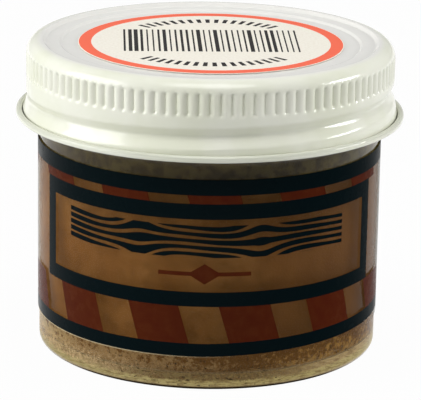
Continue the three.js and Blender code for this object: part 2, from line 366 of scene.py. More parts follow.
def lid_profile():
    """The pressed sheet from its underside's middle round the curl to its top's middle."""
    panel = LID_TOP - PANEL_DROP
    step = LID_TOP - STEP_DROP
    rim = SKIRT_RADIUS - RIM_WIDTH
    inner = SKIRT_RADIUS - SHEET
    curl_top = CURL_BOTTOM + CURL_THICKNESS
    curl_inner = CURL_RADIUS - CURL_WIDTH
    gap_bottom = CURL_BOTTOM + CURL_GAP_BOTTOM
    foot = SKIRT_RADIUS + SKIRT_FOOT_REACH
    gap_fillet = (curl_inner - foot) / 2
    bead = CURL_BOTTOM + SKIRT_BEAD_RISE
    return rounded([
        (0, panel - SHEET),
        (PANEL_RADIUS, panel - SHEET, STEP_FILLET),
        (STEP_INNER + SHEET, step - SHEET, STEP_FILLET),
        (STEP_OUTER + SHEET, step - SHEET, STEP_FILLET),
        (rim + SHEET, LID_TOP - SHEET, STEP_FILLET),
        (inner, LID_TOP - SHEET, RIM_FILLET - SHEET),
        (inner, CURL_BOTTOM, CURL_FILLET),
        (CURL_RADIUS, CURL_BOTTOM, CURL_FILLET),
        (CURL_RADIUS, curl_top, CURL_FILLET),
        (curl_inner, curl_top, CURL_FILLET),
        (curl_inner, gap_bottom, gap_fillet),
        (foot, gap_bottom, gap_fillet),
        (foot, curl_top, gap_fillet),
        (SKIRT_RADIUS + SKIRT_BEAD_REACH, bead, SKIRT_BEAD_ROUND),
        (SKIRT_RADIUS, bead + SKIRT_BEAD_SLOPE, SKIRT_BEAD_ROUND),
        (SKIRT_RADIUS, LID_TOP, RIM_FILLET),
        (rim, LID_TOP, STEP_FILLET),
        (STEP_OUTER, step, STEP_FILLET),
        (STEP_INNER, step, STEP_FILLET),
        (PANEL_RADIUS, panel, STEP_FILLET),
        (0, panel),
    ])


def lid_cap(material):
    """The steel lid: stepped top, knurl, rolled thread, bead and curl."""
    knurl_top = LID_TOP - KNURL_TOP_DROP
    knurl_bottom = knurl_top - KNURL_LENGTH
    curl_top = CURL_BOTTOM + CURL_THICKNESS
    groove_start, groove_end = FRONT - GROOVE_BEFORE, FRONT + GROOVE_AFTER
    groove_middle = GROOVE_MIDDLE + GROOVE_LIFT

    def rolled(angle, radius, height):
        band = smooth(np.minimum(height - knurl_bottom, knurl_top - height) / KNURL_RAMP)
        across = np.abs(angle * FLUTES / np.pi % 2 - 1)
        flutes = band * across ** 2
        groove = helix_form(angle, height, groove_start, groove_end, GROOVE_RUN_OUT,
                            groove_middle, GROOVE_ABOVE, GROOVE_BELOW, GROOVE_BED, straight)
        skirt = (radius > SKIRT_RADIUS - RIM_FILLET) & (height > curl_top)
        return radius - skirt * (FLUTE_DEPTH * flutes + GROOVE_DEPTH * groove), height

    def outer_wall(start, end):
        return min(start.y, end.y) > curl_top and min(start.x, end.x) > SKIRT_RADIUS - SHEET / 2

    def inner_wall(start, end):
        upright = abs(start.x - end.x) < SHEET_TOLERANCE
        return upright and abs(start.x - SKIRT_RADIUS + SHEET) < SHEET_TOLERANCE

    profile = refine(refine(lid_profile(), SKIRT_ROW, outer_wall), INSIDE_ROW, inner_wall)
    return lathe("lid_cap", profile, material, steps=FLUTES * FLUTE_STEPS, shape=rolled)


def disc_profile(low, high, edge):
    """A thin disc between a node's lowest and highest corners, with its edge rounded."""
    radius = -low[1]
    return rounded([(0, low[2]), (radius, low[2], edge), (radius, high[2], edge), (0, high[2])])


def lid_sticker(material):
    """The round paper label on the lid."""
    return lathe("lid_sticker", disc_profile(sticker_low, sticker_high, STICKER_EDGE), material)


def liner_disc(material):
    """The liner's board."""
    return lathe("liner_disc", disc_profile(board_low, board_high, BOARD_EDGE), material)


def liner_film(material):
    """The liner's facing, with the ring that the jar's lip has pressed into it."""
    lip_middle = JAR_RADIUS - NECK_STEP - WALL / 2
    middle = (facing_low[2] + facing_high[2]) / 2

    def printed(angle, radius, height):
        ring = smooth(1 - np.abs(radius - lip_middle) / LIP_PRINT_HALF)
        return radius, height + (height < middle) * ring * LIP_PRINT

    def under_lip(start, end):
        return max(start.y, end.y) < middle

    profile = refine(disc_profile(facing_low, facing_high, FACING_EDGE), LIP_PRINT_ROW, under_lip)
    return lathe("liner_film", profile, material, shape=printed)


def rgb(red, green, blue):
    """An sRGB colour of 0 to 255 as a linear one, by the sRGB standard's formula."""
    shares = np.array((red, green, blue)) / 255
    linear = np.where(shares > 0.04045, ((shares + 0.055) / 1.055) ** 2.4, shares / 12.92)
    return (*linear.tolist(), 1)


WHITE = rgb(255, 255, 255)


class Graph:
    """The shader nodes of a material or a world."""

    def __init__(self, owner, output):
        self.owner = owner
        owner.use_nodes = True
        self.nodes = owner.node_tree.nodes
        self.links = owner.node_tree.links
        self.nodes.clear()
        self.output = self.node(output)

    def put(self, socket, value):
        """Link a socket to another one, or set its value."""
        if isinstance(value, bpy.types.NodeSocket):
            self.links.new(value, socket)
        else:
            socket.default_value = value

    def node(self, kind, inputs=(), **settings):
        """A new node with its settings and inputs."""
        made = self.nodes.new("ShaderNode" + kind)
        for key, value in settings.items():
            setattr(made, key, value)
        for key, value in dict(inputs).items():
            self.put(made.inputs[key], value)
        return made

    def math(self, operation, *values):
        return self.node("Math", enumerate(values), operation=operation).outputs[0]

    def mix(self, factor, first, second):
        """A colour between two colours."""
        inputs = {0: factor, 6: first, 7: second}
        return self.node("Mix", inputs, data_type="RGBA").outputs[2]

    def layer(self, factor, under, over):
        """A shader node that lays one shader node over another."""
        return self.node("MixShader", {0: factor, 1: under.outputs[0], 2: over.outputs[0]})

    def fade(self, value, low, high, start=0.0, end=1.0):
        """An S-curve from start at low to end at high, as each FADE gives them."""
        inputs = {"Value": value, "From Min": low, "From Max": high, "To Min": start, "To Max": end}
        return self.node("MapRange", inputs, interpolation_type="SMOOTHSTEP").outputs[0]

    def noise(self, point, grain, detail=3.0, roughness=0.55):
        """Noise whose blobs are about a grain in millimetres across, as each NOISE gives it."""
        scale = 1 / (grain * MM)
        inputs = {"Vector": point, "Scale": scale, "Detail": detail, "Roughness": roughness}
        return self.node("TexNoise", inputs).outputs["Fac"]

    def bump(self, height, depth, strength):
        """A normal that a height bends, as each BUMP gives its depth in millimetres and strength."""
        inputs = {"Height": height, "Distance": depth * MM, "Strength": strength}
        return self.node("Bump", inputs).outputs[0]

    def place(self):
        """The point on the object, and its three coordinates in millimetres."""
        point = self.node("TexCoord").outputs["Object"]
        parts = self.node("SeparateXYZ", {0: point}).outputs
        return point, [self.math("DIVIDE", part, MM) for part in parts]

    def turned(self):
        """How far the surface turns from the eye, from 0 to 1 at its outline."""
        return self.node("LayerWeight").outputs["Facing"]

    def square(self, value):
        return self.math("POWER", value, 2)

    def radius(self, x, y):
        return self.math("SQRT", self.math("ADD", self.square(x), self.square(y)))

    def wave(self, value, rate, height):
        """A sine of a rate in radians a millimetre and of a height."""
        return self.math("MULTIPLY", self.math("SINE", self.math("MULTIPLY", value, rate)), height)

    def between(self, value, low, high):
        return self.both(self.math("GREATER_THAN", value, low), self.math("LESS_THAN", value, high))

    def within(self, value, reach):
        return self.math("LESS_THAN", self.math("ABSOLUTE", value), reach)

    def both(self, *masks):
        """The product of masks, or a mask that is weakened by a share."""
        return reduce(lambda first, second: self.math("MULTIPLY", first, second), masks)

    def either(self, *masks):
        return reduce(lambda first, second: self.math("MAXIMUM", first, second), masks)

    def without(self, mask, hole):
        return self.both(mask, self.math("SUBTRACT", 1.0, hole))

    def stripes(self, position, period, width):
        """Stripes of a width, centred on each multiple of a period."""
        away = self.math("PINGPONG", position, period / 2)
        return self.math("LESS_THAN", away, self.math("MULTIPLY", width, 0.5))

    def principled(self, **inputs):
        """A principled shader, whose inputs are named with _ for a space."""
        spaced = {key.replace("_", " "): value for key, value in inputs.items()}
        return self.node("BsdfPrincipled", spaced)

    def done(self, shader):
        """Send a shader to the output, and give back the material or world."""
        self.links.new(shader.outputs[0], self.output.inputs[0])
        return self.owner


def material_graph(name):
    """The graph of a new material."""
    return Graph(bpy.data.materials.new(name), "OutputMaterial")


# Glass
GLASS = rgb(243, 248, 242)
GLASS_SHADE = rgb(246, 249, 245)
GLASS_SHEEN = rgb(140, 140, 140)
GLASS_IOR = 1.5
GLASS_ROUGHNESS = 0.02
DULL_FADE = (0.5, 0.85, 0.85, 0.51)

# Painted light of the glass foot: paler at the sides and palest at the far sides, with painted shade
# inside its ring, and sandy grains and specks
FOOT_HEIGHT = 0.3
FOOT_SIDE_LIT = rgb(178, 160, 112)
FOOT_FRONT = rgb(164, 146, 98)
FOOT_PALE_LIT = rgb(250, 228, 184)
FOOT_INNER_SHADE = (rgb(80, 58, 36), rgb(170, 140, 104))
FOOT_LEFT_FADE = (6, -15)
FOOT_RIGHT_FADE = (9, 20)
FOOT_PALE_LIT_FADE = (20, 24)
FOOT_INNER_SHADE_FADE = (FOOT_INSIDE - 0.3, FOOT_INSIDE - 1.2, 0.0, 0.7)
FOOT_INNER_SHADE_SIDE_FADE = (6, 20)
FOOT_SAND = rgb(98, 72, 44)
SAND_NOISE = (1.2, 4, 0.65)
SAND_FADE = (0.42, 0.64, 0.0, 0.65)
SAND_SIDE_FADE = (24, 16, 0.3, 1.0)
FOOT_SPECK = rgb(54, 43, 26)
SPECK_NOISE = (0.8, 2)
SPECK_FADE = (0.6, 0.65)
SPECK_SIDE_FADE = (16, 8)

# Painted contact shade low on the heel, towards the front, and grains of dried putty on the outside
# of the glass
HEEL_SHADE = rgb(40, 30, 14)
HEEL_SHADE_HEIGHT = 0.7
HEEL_SHADE_SIDE_FADE = (24, 16)
RESIDUE = (rgb(122, 94, 62), rgb(206, 176, 132))
RESIDUE_NOISE = (0.5, 4, 0.7)
RESIDUE_FADE = (0.42, 0.62, 0.05, 0.6)
RESIDUE_LOW_FADE = (1.0, 1.5)
RESIDUE_HIGH_FADE = (4.2, 2.85)
RESIDUE_RIGHT_FADE = (4, 16, 1.0, 0.4)
RESIDUE_SIDE_FADE = (4, 20)


def painted_foot_light_and_grains(g, point, x, radius):
    """The foot's colours: tan, with painted light that is paler at the sides and painted shade inside
    its ring, sandy and specked.
    """
    aside = g.math("ABSOLUTE", x)
    sides = g.either(g.fade(x, *FOOT_LEFT_FADE), g.fade(x, *FOOT_RIGHT_FADE))
    # Painted light: the foot is paler at the sides than at the front, and palest at the far sides
    tint = g.mix(sides, FOOT_FRONT, FOOT_SIDE_LIT)
    tint = g.mix(g.fade(aside, *FOOT_PALE_LIT_FADE), tint, FOOT_PALE_LIT)
    # Painted shade inside the foot's ring, less of it at the sides
    inner = g.mix(g.fade(aside, *FOOT_INNER_SHADE_SIDE_FADE), *FOOT_INNER_SHADE)
    tint = g.mix(g.fade(radius, *FOOT_INNER_SHADE_FADE), tint, inner)
    sand = g.fade(g.noise(point, *SAND_NOISE), *SAND_FADE)
    tint = g.mix(g.both(sand, g.fade(aside, *SAND_SIDE_FADE)), tint, FOOT_SAND)
    specks = g.fade(g.noise(point, *SPECK_NOISE), *SPECK_FADE)
    return g.mix(g.both(specks, g.fade(aside, *SPECK_SIDE_FADE)), tint, FOOT_SPECK)


def residue_mask(g, point, x, z, radius):
    """Grains of dried putty in a belt above the foot, fewer on the right."""
    outside = g.math("GREATER_THAN", radius, JAR_RADIUS - HEEL / 2)
    belt = g.both(g.fade(z, *RESIDUE_LOW_FADE), g.fade(z, *RESIDUE_HIGH_FADE))
    grains = g.fade(g.noise(point, *RESIDUE_NOISE), *RESIDUE_FADE)
    return g.both(outside, belt, g.fade(x, *RESIDUE_RIGHT_FADE), grains)


def glass_material():
    """Clear soda glass with painted light and shade on its foot, painted contact shade on its heel
    and putty grains near the base, which lets the lamps reach the putty.
    """
    g = material_graph("clear_glass")
    point, (x, y, z) = g.place()
    aside = g.math("ABSOLUTE", x)
    radius = g.radius(x, y)
    # Painted light and shade of the foot, with its grains, also lent to its translucent layer
    tint = painted_foot_light_and_grains(g, point, x, radius)
    heel = g.math("GREATER_THAN", radius, JAR_RADIUS - HEEL)
    underside = g.without(g.fade(z, FLOOR / 2, PUSH_UP), heel)
    foot = g.either(underside, g.fade(z, FOOT_HEIGHT, FOOT_HEIGHT / 4))
    # Painted contact shade: a dark band low on the heel, towards the front
    heel_shade_low = g.fade(z, HEEL_SHADE_HEIGHT, HEEL_SHADE_HEIGHT / 2)
    heel_shade = g.both(heel, heel_shade_low, g.fade(aside, *HEEL_SHADE_SIDE_FADE))
    clear = g.principled(
        Base_Color=g.mix(heel_shade, g.mix(foot, GLASS, tint), HEEL_SHADE),
        Roughness=GLASS_ROUGHNESS,
        IOR=GLASS_IOR,
        Transmission_Weight=1.0,
        Specular_Tint=GLASS_SHEEN,
    )
    footed = g.layer(foot, clear, g.node("BsdfTranslucent", {"Color": tint}))
    refraction = {"Color": GLASS, "Roughness": GLASS_ROUGHNESS, "IOR": GLASS_IOR}
    side = g.both(g.between(z, HEEL, label_high[2]), g.fade(g.turned(), *DULL_FADE))
    washed = g.layer(side, footed, g.node("BsdfRefraction", refraction))
    residue = g.mix(g.fade(aside, *RESIDUE_SIDE_FADE), *RESIDUE)
    # The diffuse layer carries the putty grains and the painted contact shade
    grains_and_shade = g.node("BsdfDiffuse", {"Color": g.mix(heel_shade, residue, HEEL_SHADE)})
    with_grains_and_shade = g.layer(g.either(heel_shade, residue_mask(g, point, x, z, radius)), washed, grains_and_shade)
    path = g.node("LightPath").outputs
    lit = g.either(path["Is Shadow Ray"], path["Is Diffuse Ray"])
    return g.done(g.layer(lit, with_grains_and_shade, g.node("BsdfTransparent", {"Color": GLASS_SHADE})))


# Putty
PUTTY_BROWN = rgb(132, 84, 38)
PUTTY_PALE = rgb(147, 98, 50)
PUTTY_DARK = rgb(102, 63, 27)
MOTTLE_NOISE = (7, 4)
MOTTLE_FADE = (0.36, 0.66)
CLOUD_NOISE = (2.2, 3)
CLOUD_FADE = (0.4, 0.72)
CLOUD_SHARE = 0.4
CLOUD_HEIGHT = 0.5
RIGHT_PAINTED_SHADE_FADE = (-2, 20, 0.0, 0.8)
PASTE_NOISE = (0.35, 2)
PASTE_FADE = (0.62, 0.8, 0.0, 0.35)
PUTTY_OIL = (rgb(98, 88, 45), rgb(62, 56, 31))
OIL_NOISE = (1.6, 4)
OIL_FADE = (0.38, 0.64)
OILY_FADE = (29.0, 30.0, 0.0, 0.85)
PUTTY_ROUGHNESS_FADE = (0, 1, 0.5, 0.68)
PUTTY_SPECULAR = 0.1
PUTTY_BUMP = (0.15, 0.25)

# Dry base of the putty, with painted light on its underside
PUTTY_LOW = rgb(104, 68, 30)
LOW_FADE = (6.0, 4.5)
LOW_SHARE = 0.85
PUTTY_DRY = (rgb(160, 124, 84), rgb(164, 119, 60))
DRY_RIGHT_FADE = (0, 14)
PUTTY_CHALK = rgb(198, 166, 120)
CHALK_FADE = (-16, -24)
CRUST_NOISE = (0.9, 5, 0.75)
CRUST_LEFT_FADE = (8, -16, 0.0, 0.15)
CRUST_RIGHT_FADE = (6, 18, 0.0, 0.06)
CRUST_FADE = (0.47, 0.6, 0.0, 0.9)
DAMP_NOISE = (2.4, 2)
DAMP_FADE = (2.5, 4.5, 0.0, 0.16)
PUTTY_PAINTED_UNDER_LIGHT = rgb(168, 142, 112)
PAINTED_UNDER_LIGHT_FADE = (FLOOR + 0.6, FLOOR + 0.2, 0.0, 0.8)
PUTTY_SPECK = rgb(58, 42, 28)
FLECK_NOISE = (0.55, 2)
FLECK_FADE = (0.62, 0.68)
FLECK_LOW_FADE = (5, 3, 0.2, 1.0)
FLECK_RIGHT_FADE = (-18, -4, 0.6, 1.0)


def dry_base(g, point, x, z, colour):
    """A colour of the paste, dried to a pale crust with dark flecks towards the base, and paler on
    its underside by painted light.
    """
    low = g.fade(z, *LOW_FADE)
    colour = g.mix(g.both(low, LOW_SHARE), colour, PUTTY_LOW)
    aside = g.either(g.fade(x, *CRUST_LEFT_FADE), g.fade(x, *CRUST_RIGHT_FADE))
    damp = g.both(g.fade(z, *DAMP_FADE), g.noise(point, *DAMP_NOISE))
    crust = g.math("SUBTRACT", g.math("ADD", g.noise(point, *CRUST_NOISE), aside), damp)
    dry = g.mix(g.fade(x, *DRY_RIGHT_FADE), *PUTTY_DRY)
    dry = g.mix(g.fade(x, *CHALK_FADE), dry, PUTTY_CHALK)
    colour = g.mix(g.both(low, g.fade(crust, *CRUST_FADE)), colour, dry)
    # Painted light: the underside is paler, as if lit through the glass floor
    colour = g.mix(g.fade(z, *PAINTED_UNDER_LIGHT_FADE), colour, PUTTY_PAINTED_UNDER_LIGHT)
    spread = g.both(low, g.fade(z, *FLECK_LOW_FADE), g.fade(x, *FLECK_RIGHT_FADE))
    flecks = g.fade(g.noise(point, *FLECK_NOISE), *FLECK_FADE)
    return g.mix(g.both(spread, flecks), colour, PUTTY_SPECK)


def putty_material():
    """Brown filler paste: mottled, dry where air has crept in at the base, oily under the lid, with
    painted shade towards the right and painted light on its underside.
    """
    g = material_graph("putty")
    point, (x, _, z) = g.place()
    mottle = g.fade(g.noise(point, *MOTTLE_NOISE), *MOTTLE_FADE)
    cloud = g.fade(g.noise(point, *CLOUD_NOISE), *CLOUD_FADE)
    paste = g.noise(point, *PASTE_NOISE)
    colour = g.mix(mottle, PUTTY_BROWN, PUTTY_PALE)
    colour = g.mix(g.both(cloud, CLOUD_SHARE), colour, PUTTY_DARK)
    # Painted shade: the paste darkens towards the right
    colour = g.mix(g.fade(x, *RIGHT_PAINTED_SHADE_FADE), colour, PUTTY_DARK)
    oil = g.mix(g.fade(g.noise(point, *OIL_NOISE), *OIL_FADE), *PUTTY_OIL)
    colour = g.mix(g.fade(z, *OILY_FADE), colour, oil)
    colour = dry_base(g, point, x, z, colour)
    colour = g.mix(g.fade(paste, *PASTE_FADE), colour, PUTTY_PALE)
    height = g.math("ADD", paste, g.both(cloud, CLOUD_HEIGHT))
    return g.done(g.principled(
        Base_Color=colour,
        Roughness=g.fade(cloud, *PUTTY_ROUGHNESS_FADE),
        Specular_IOR_Level=PUTTY_SPECULAR,
        Normal=g.bump(height, *PUTTY_BUMP),
    ))


# Label print, by heights up the jar and angles from the front with right positive
DEGREE_ARC = math.radians(1) * LABEL_RADIUS
PRINT_TURN = 0.8
BAND_LOW_TOP = 7.05
BAND_HIGH_BOTTOM = 28.78
BAND_LEAN = 0.03
FRAME_TURN = 1.2
FRAME_BOTTOM = 12.54
FRAME_TOP = 27.55
FRAME_OUTSIDE = (FRAME_BOTTOM, FRAME_TOP, 65.8)
FRAME_INSIDE = (14.69, 25.31, 60.55)
STRIPE_PERIOD = 30.0
STRIPE_WIDTH = 17.0
STRIPE_SLANT = 0.65
STRIPE_LEVEL = 9.8
GRAIN_HEIGHT = 22.1
GRAIN_HALF_HEIGHT = 2.35
GRAIN_HALF_ANGLE = 50.0
GRAIN_PITCH = 0.95
GRAIN_LINE = 0.6
GRAIN_WAVE = (0.32, 0.22)
GRAIN_SWELL = (0.55, 0.1)
KNOTS = (-9.5, 8.0)
KNOT_SPREAD = 3.4
KNOT_SQUEEZE = 0.5
KNOT_HALF_WIDTH = 1.7
KNOT_HALF_HEIGHT = 0.62
RULE_HEIGHT = 17.35
RULE_HALF_ANGLE = 15.0
RULE_HALF_THICKNESS = 0.3
LOZENGE_HALF_WIDTH = 2.4
LOZENGE_HALF_HEIGHT = 1.5

# Film and ink, with a painted reflection where the film turns away and a painted highlight on its
# lower edge at the left
INK_NAVY = rgb(5, 17, 20)
INK_RED = rgb(68, 13, 7)
INK_RED_COVER = 0.95
INK_WEAR = 0.2
INK_SHADE = 0.25
WEAR_NOISE = (1.5, 4)
FILM_ROUGHNESS_FADE = (0.3, 0.7, 0.2, 0.3)
FILM_GLOSS_FADE = (0, 18, 0.02, 0.006)
FILM_GRAZING_REFLECTION = (rgb(160, 152, 138), rgb(118, 116, 104))
GRAZING_REFLECTION_FADE = (0.72, 0.95, 0.0, 0.6)
GRAZING_REFLECTION_RIGHT_FADE = (0, 20)
FILM_EDGE_HIGHLIGHT = rgb(205, 190, 155)
FILM_RIM = 0.13
EDGE_HIGHLIGHT_LEFT_FADE = (6, -12, 0.0, 0.6)


def grain_print(g, turn, z):
    """A generic wood-grain block: wavy lines that part round two knots."""
    along = g.math("MULTIPLY", turn, DEGREE_ARC)
    up = g.math("SUBTRACT", z, GRAIN_HEIGHT)
    level = g.math("ADD", up, g.wave(along, *GRAIN_WAVE))
    spread = 1.0
    knots = []
    for middle in KNOTS:
        away = g.math("SUBTRACT", along, middle)
        near = g.square(g.math("DIVIDE", away, KNOT_SPREAD))
        hump = g.math("EXPONENT", g.math("MULTIPLY", near, -1))
        spread = g.math("SUBTRACT", spread, g.math("MULTIPLY", hump, KNOT_SQUEEZE))
        across = g.square(g.math("DIVIDE", away, KNOT_HALF_WIDTH))
        tall = g.square(g.math("DIVIDE", level, KNOT_HALF_HEIGHT))
        knots.append(g.math("LESS_THAN", g.math("ADD", across, tall), 1))
    line = g.math("ADD", GRAIN_LINE, g.wave(along, *GRAIN_SWELL))
    lines = g.stripes(g.math("MULTIPLY", level, spread), GRAIN_PITCH, line)
    inside = g.both(g.within(up, GRAIN_HALF_HEIGHT), g.within(turn, GRAIN_HALF_ANGLE))
    return g.both(inside, g.either(lines, *knots))


def rule_print(g, turn, z):
    """A plain rule with a lozenge in its middle."""
    along = g.math("ABSOLUTE", g.math("MULTIPLY", turn, DEGREE_ARC))
    up = g.math("ABSOLUTE", g.math("SUBTRACT", z, RULE_HEIGHT))
    across = g.math("DIVIDE", along, LOZENGE_HALF_WIDTH)
    tall = g.math("DIVIDE", up, LOZENGE_HALF_HEIGHT)
    lozenge = g.math("LESS_THAN", g.math("ADD", across, tall), 1)
    reach = RULE_HALF_ANGLE * DEGREE_ARC
    return g.either(g.both(g.within(along, reach), g.within(up, RULE_HALF_THICKNESS)), lozenge)


def box_mask(g, turn, z, sides):
    """A box between two heights, to half an angle on each side."""
    bottom, top, half_angle = sides
    return g.both(g.between(z, bottom, top), g.within(turn, half_angle))


def stripe_print(g, turn, z, low):
    """Slanted stripes in the strips between the bands and the frame."""
    slant = g.math("MULTIPLY", g.math("SUBTRACT", z, STRIPE_LEVEL), STRIPE_SLANT)
    phase = g.math("ADD", g.math("ADD", turn, slant), STRIPE_PERIOD / 2)
    over_band = g.math("GREATER_THAN", low, BAND_LOW_TOP)
    strips = g.either(
        g.both(over_band, g.math("LESS_THAN", z, FRAME_BOTTOM)),
        g.between(z, FRAME_TOP, BAND_HIGH_BOTTOM),
    )
    return g.both(strips, g.stripes(phase, STRIPE_PERIOD, STRIPE_WIDTH))


def film_material():
    """Clear film printed with navy bands, a navy frame, slanted red stripes and a grain block, with a
    painted reflection where it turns away and a painted highlight along its lower edge at the left.
    """
    g = material_graph("printed_film")
    point, (x, y, z) = g.place()
    angle = g.math("DEGREES", g.math("ARCTAN2", x, g.math("MULTIPLY", y, -1)))
    turn = g.math("ADD", angle, PRINT_TURN)
    swung = g.math("SUBTRACT", turn, FRAME_TURN)
    low = g.math("SUBTRACT", z, g.both(g.math("MAXIMUM", x, 0.0), BAND_LEAN))
    # Painted highlight: a cream line along the film's lower edge, on the left only
    rim_top = label_low[2] + FILM_RIM
    rim = g.both(g.math("LESS_THAN", low, rim_top), g.fade(x, *EDGE_HIGHLIGHT_LEFT_FADE))
    high_band = g.math("GREATER_THAN", z, BAND_HIGH_BOTTOM)
    bands = g.either(g.between(low, rim_top, BAND_LOW_TOP), high_band)
    border = g.without(box_mask(g, swung, z, FRAME_OUTSIDE), box_mask(g, swung, z, FRAME_INSIDE))
    navy = g.either(bands, border, grain_print(g, turn, z))
    red = g.either(stripe_print(g, turn, z, low), rule_print(g, turn, z))
    wear = g.noise(point, *WEAR_NOISE)
    worn_red = g.mix(g.both(wear, INK_WEAR), INK_RED, PUTTY_BROWN)
    # Painted reflection: a pale colour where the film turns away, paler on the left
    grazing_reflection = g.mix(g.fade(x, *GRAZING_REFLECTION_RIGHT_FADE), *FILM_GRAZING_REFLECTION)
    ink = g.mix(navy, g.mix(g.either(navy, red), grazing_reflection, worn_red), INK_NAVY)
    printed = g.either(navy, g.both(red, INK_RED_COVER), rim, g.fade(g.turned(), *GRAZING_REFLECTION_FADE))
    outside = g.math("GREATER_THAN", g.radius(x, y), LABEL_RADIUS - FILM / 2)
    shade = g.fade(g.node("LightPath").outputs["Is Shadow Ray"], 0, 1, 1.0, INK_SHADE)
    return g.done(g.principled(
        Base_Color=g.mix(g.math("GREATER_THAN", rim, 0), ink, FILM_EDGE_HIGHLIGHT),
        Roughness=g.fade(wear, *FILM_ROUGHNESS_FADE),
        Specular_IOR_Level=g.fade(x, *FILM_GLOSS_FADE),
        Alpha=g.both(outside, printed, shade),
    ))


# Enamel, the painted shade on its curl's top and the painted shade in the gap beside that
ENAMEL = (rgb(237, 238, 224), rgb(230, 232, 213))
ENAMEL_NOISE = (9, 3)
ENAMEL_FADE = (0.35, 0.65)
ENAMEL_TOP = rgb(236, 235, 230)
ENAMEL_TOP_FADE = (SKIRT_RADIUS - RIM_WIDTH / 2, SKIRT_RADIUS - RIM_WIDTH)
ENAMEL_CURL_SHADE = rgb(211, 213, 197)
CURL_SHADE_FADE = (CURL_BOTTOM + 0.4 * CURL_THICKNESS, CURL_BOTTOM + 0.8 * CURL_THICKNESS)
ENAMEL_GAP_SHADE = rgb(70, 66, 56)
GAP_SHADE_FADE = (CURL_BOTTOM + 0.75 * CURL_THICKNESS, CURL_BOTTOM + CURL_GAP_BOTTOM)
GLOSS_NOISE = (3, 4)
GLOSS_FADE = (0.3, 0.7, 0.1, 0.18)
PEEL_NOISE = (0.6, 2)
PEEL_BUMP = (0.05, 0.08)


def enamel_material():
    """Glossy baked enamel, warm white, with an orange-peel skin, painted shade on the curl's top and
    painted shade in the gap beside the curl.
    """
    g = material_graph("white_enamel")
    point, (x, y, z) = g.place()
    radius = g.radius(x, y)
    colour = g.mix(g.fade(g.noise(point, *ENAMEL_NOISE), *ENAMEL_FADE), *ENAMEL)
    colour = g.mix(g.fade(radius, *ENAMEL_TOP_FADE), colour, ENAMEL_TOP)
    curl = g.math("GREATER_THAN", radius, CURL_RADIUS - CURL_WIDTH)
    # Painted shade: the curl's top is darker
    colour = g.mix(g.both(g.fade(z, *CURL_SHADE_FADE), curl), colour, ENAMEL_CURL_SHADE)
    # Painted shade in the gap between the skirt and the curl
    gap = g.between(radius, SKIRT_RADIUS, CURL_RADIUS - CURL_WIDTH / 2)
    colour = g.mix(g.both(g.fade(z, *GAP_SHADE_FADE), gap), colour, ENAMEL_GAP_SHADE)
    return g.done(g.principled(
        Base_Color=colour,
        Roughness=g.fade(g.noise(point, *GLOSS_NOISE), *GLOSS_FADE),
        Normal=g.bump(g.noise(point, *PEEL_NOISE), *PEEL_BUMP),
    ))


# Lid label and its print
STICKER_TURN = 2.4
RING_INNER = 17.45
RING_OUTER = 19.25
BARS_HALF_WIDTH = 13.0
BARS_BOTTOM = -6.0
BARS_TOP = 8.0
BAR_PITCH = 0.84
BAR_WIDTH = (0.22, 0.6)
BAR_HASH = (12.9898, 43758.5453)
DASH_RADIUS = 13.9
DASH_HALF_WIDTH = 1.15
DASH_PERIOD = 5.4
DASH_LENGTH = 2.6
DASH_ARC = 46.0
PAPER = (rgb(238, 234, 223), rgb(230, 224, 211))
FIBRE_NOISE = (0.4, 4, 0.65)
FIBRE_FADE = (0.35, 0.7)
PAPER_ROUGHNESS_FADE = (0.3, 0.7, 0.55, 0.7)
PAPER_BUMP = (0.03, 0.2)
INK_ORANGE = rgb(240, 115, 91)
INK_GREY = rgb(62, 60, 60)


def bars_print(g, across, along):
    """Upright bars of uneven width that stand for nothing, from a hash of their place."""
    cell = g.math("ROUND", g.math("DIVIDE", across, BAR_PITCH))
    uneven = g.square(g.math("FRACT", g.wave(cell, *BAR_HASH)))
    bars = g.stripes(across, BAR_PITCH, g.fade(uneven, 0, 1, *BAR_WIDTH))
    inside = g.both(g.within(across, BARS_HALF_WIDTH), g.between(along, BARS_BOTTOM, BARS_TOP))
    return g.both(bars, inside)


def dashes_print(g, radius, across, along):
    """Two arcs of dashes, above and below the bars."""
    turn = g.math("DEGREES", g.math("ARCTAN2", across, g.math("ABSOLUTE", along)))
    return g.both(
        g.between(radius, DASH_RADIUS - DASH_HALF_WIDTH, DASH_RADIUS + DASH_HALF_WIDTH),
        g.within(turn, DASH_ARC),
        g.stripes(turn, DASH_PERIOD, DASH_LENGTH),
    )


def paper_material():
    """Matt label paper with an orange ring, a block of bars and two arcs of dashes."""
    g = material_graph("label_paper")
    point, (x, y, _) = g.place()
    slope = math.tan(math.radians(STICKER_TURN))
    across = g.math("ADD", x, g.math("MULTIPLY", y, slope))
    along = g.math("SUBTRACT", y, g.math("MULTIPLY", x, slope))
    radius = g.radius(x, y)
    fibre = g.noise(point, *FIBRE_NOISE)
    colour = g.mix(g.fade(fibre, *FIBRE_FADE), *PAPER)
    colour = g.mix(g.between(radius, RING_INNER, RING_OUTER), colour, INK_ORANGE)
    dark = g.either(bars_print(g, across, along), dashes_print(g, radius, across, along))
    return g.done(g.principled(
        Base_Color=g.mix(dark, colour, INK_GREY),
        Roughness=g.fade(fibre, *PAPER_ROUGHNESS_FADE),
        Specular_IOR_Level=0.0,
        Normal=g.bump(fibre, *PAPER_BUMP),
    ))


